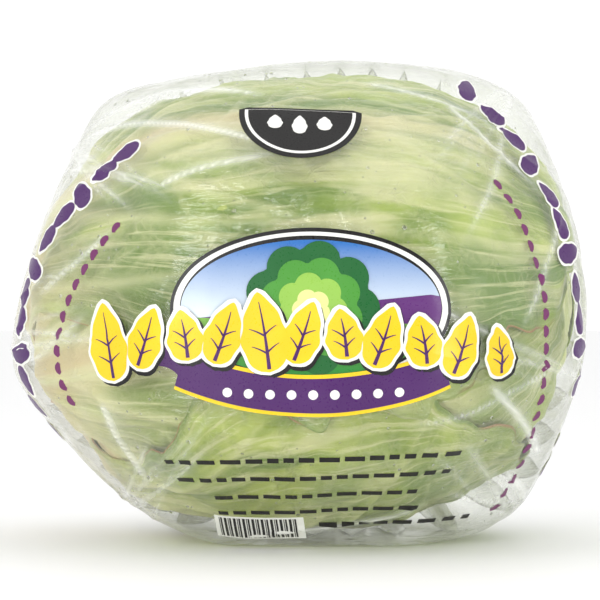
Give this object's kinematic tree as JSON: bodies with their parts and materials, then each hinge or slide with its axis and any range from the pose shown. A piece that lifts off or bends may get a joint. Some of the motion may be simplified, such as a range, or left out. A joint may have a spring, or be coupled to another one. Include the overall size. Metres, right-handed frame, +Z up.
{
  "type": "head of iceberg lettuce in a film wrapper",
  "caption": "Round head of iceberg lettuce lying on its side in a clear printed film wrapper, with nested leaves on a cut stem.",
  "frame": {"origin": "centre of the bounding box, on the surface that the wrapped head rests on", "axes": "+Z up, +Y towards the gathered tail of the wrapper at the back, the printed front faces -Y and the cut stem points to -X"},
  "size_m": [0.1894, 0.1804, 0.159],
  "materials": {
    "stem": "moist cut flesh, cream with a tan cut face",
    "heart_leaf": "crisp pale yellow leaf",
    "pale_leaf": "crisp pale green leaf with a waxy sheen",
    "green_leaf": "green leaf with pale ribs and a waxy sheen",
    "clear_film": "thin clear glossy film, slightly hazy, with opaque printed marks",
    "tape": "glossy plastic closing tape"
  },
  "bodies": {
    "root": {"stem": "stem", "heart": "heart_leaf", "head_leaf_01": "pale_leaf", "head_leaf_02": "pale_leaf", "head_leaf_03": "pale_leaf", "head_leaf_04": "pale_leaf", "head_leaf_05": "pale_leaf", "head_leaf_06": "pale_leaf", "head_leaf_07": "pale_leaf", "head_leaf_08": "pale_leaf", "head_leaf_09": "pale_leaf", "head_leaf_10": "pale_leaf", "wrapper_leaf_1": "green_leaf", "wrapper_leaf_2": "green_leaf", "wrapper_leaf_3": "green_leaf", "wrapper_leaf_4": "green_leaf", "wrapper_leaf_5": "green_leaf", "wrapper_leaf_6": "green_leaf", "wrapper_leaf_7": "green_leaf", "film_wrapper": "clear_film", "closure_tape": "tape"}
  },
  "joints": []
}
